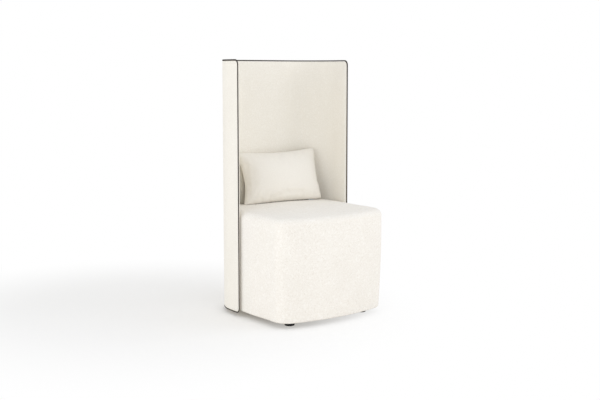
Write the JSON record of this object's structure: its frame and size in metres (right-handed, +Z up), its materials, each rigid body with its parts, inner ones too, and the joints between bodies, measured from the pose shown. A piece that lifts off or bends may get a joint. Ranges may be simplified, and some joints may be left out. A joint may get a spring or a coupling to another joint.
{
  "type": "acoustic high back lounge chair",
  "caption": "Upholstered block seat wrapped on the back and both sides by a tall thin padded screen with contrast piping, with a loose lumbar cushion.",
  "frame": {"origin": "on the floor, in the middle of the footprint: half way between the screen's two outer sides, and half way between the front of the seat and the back of the screen", "axes": "+Z up; -Y the way the sitter faces, so the open front is at -Y and the screen's back at +Y; +X to the right as seen from the front"},
  "size_m": [0.6208, 0.5954, 1.1504],
  "materials": {
    "upholstery_cloth": "off-white wool-mix cloth, finely flecked",
    "cushion_cloth": "off-white smooth cloth",
    "piping_cloth": "dark grey-brown cloth over a cord",
    "foam": "cut polyurethane foam",
    "plywood": "sanded plywood",
    "hardboard": "thin brown hardboard",
    "dust_cloth": "black non-woven cloth",
    "nylon": "black moulded nylon",
    "steel": "zinc-plated steel",
    "filling": "white fibre filling",
    "zip": "off-white nylon zip"
  },
  "bodies": {
    "chair": {"screen_outer_cover": "upholstery_cloth", "screen_outer_foam": "foam", "screen_core": "plywood", "screen_inner_foam": "foam", "screen_inner_cover": "upholstery_cloth", "screen_piping": "piping_cloth", "seat_base_board": "plywood", "seat_deck_board": "plywood", "seat_right_panel": "plywood", "seat_left_panel": "plywood", "seat_front_panel": "plywood", "seat_back_panel": "plywood", "seat_front_wrap": "hardboard", "seat_back_wrap": "hardboard", "seat_cross_rib": "plywood", "seat_long_rib": "plywood", "seat_top_foam": "foam", "seat_front_foam": "foam", "seat_back_foam": "foam", "seat_right_foam": "foam", "seat_left_foam": "foam", "seat_cover": "upholstery_cloth", "seat_dust_cloth": "dust_cloth", "glide_insert_front_left": "steel", "glide_insert_front_right": "steel", "glide_insert_rear_left": "steel", "glide_insert_rear_right": "steel", "screen_spacer_left_low": "steel", "screen_bolt_left_low": "steel", "screen_tee_nut_left_low": "steel", "screen_spacer_left_high": "steel", "screen_bolt_left_high": "steel", "screen_tee_nut_left_high": "steel", "screen_spacer_right_low": "steel", "screen_bolt_right_low": "steel", "screen_tee_nut_right_low": "steel", "screen_spacer_right_high": "steel", "screen_bolt_right_high": "steel", "screen_tee_nut_right_high": "steel", "screen_spacer_back_left": "steel", "screen_bolt_back_left": "steel", "screen_tee_nut_back_left": "steel", "screen_spacer_back_right": "steel", "screen_bolt_back_right": "steel", "screen_tee_nut_back_right": "steel"},
    "glide_front_left": {"glide_pad_front_left": "nylon", "glide_stud_front_left": "steel"},
    "glide_front_right": {"glide_pad_front_right": "nylon", "glide_stud_front_right": "steel"},
    "glide_rear_left": {"glide_pad_rear_left": "nylon", "glide_stud_rear_left": "steel"},
    "glide_rear_right": {"glide_pad_rear_right": "nylon", "glide_stud_rear_right": "steel"},
    "lumbar_cushion": {"cushion_cover": "cushion_cloth", "cushion_filling": "filling", "cushion_zip": "zip"}
  },
  "joints": [
    {"name": "front_left_glide_height", "type": "slide", "parent": "chair", "child": "glide_front_left", "axis": [0, 0, -1], "range_m": [0, 0.01]},
    {"name": "front_right_glide_height", "type": "slide", "parent": "chair", "child": "glide_front_right", "axis": [0, 0, -1], "range_m": [0, 0.01]},
    {"name": "rear_left_glide_height", "type": "slide", "parent": "chair", "child": "glide_rear_left", "axis": [0, 0, -1], "range_m": [0, 0.01]},
    {"name": "rear_right_glide_height", "type": "slide", "parent": "chair", "child": "glide_rear_right", "axis": [0, 0, -1], "range_m": [0, 0.01]},
    {"name": "cushion_lift", "type": "slide", "parent": "chair", "child": "lumbar_cushion", "axis": [0, 0, 1], "range_m": [0, 0.7]}
  ]
}
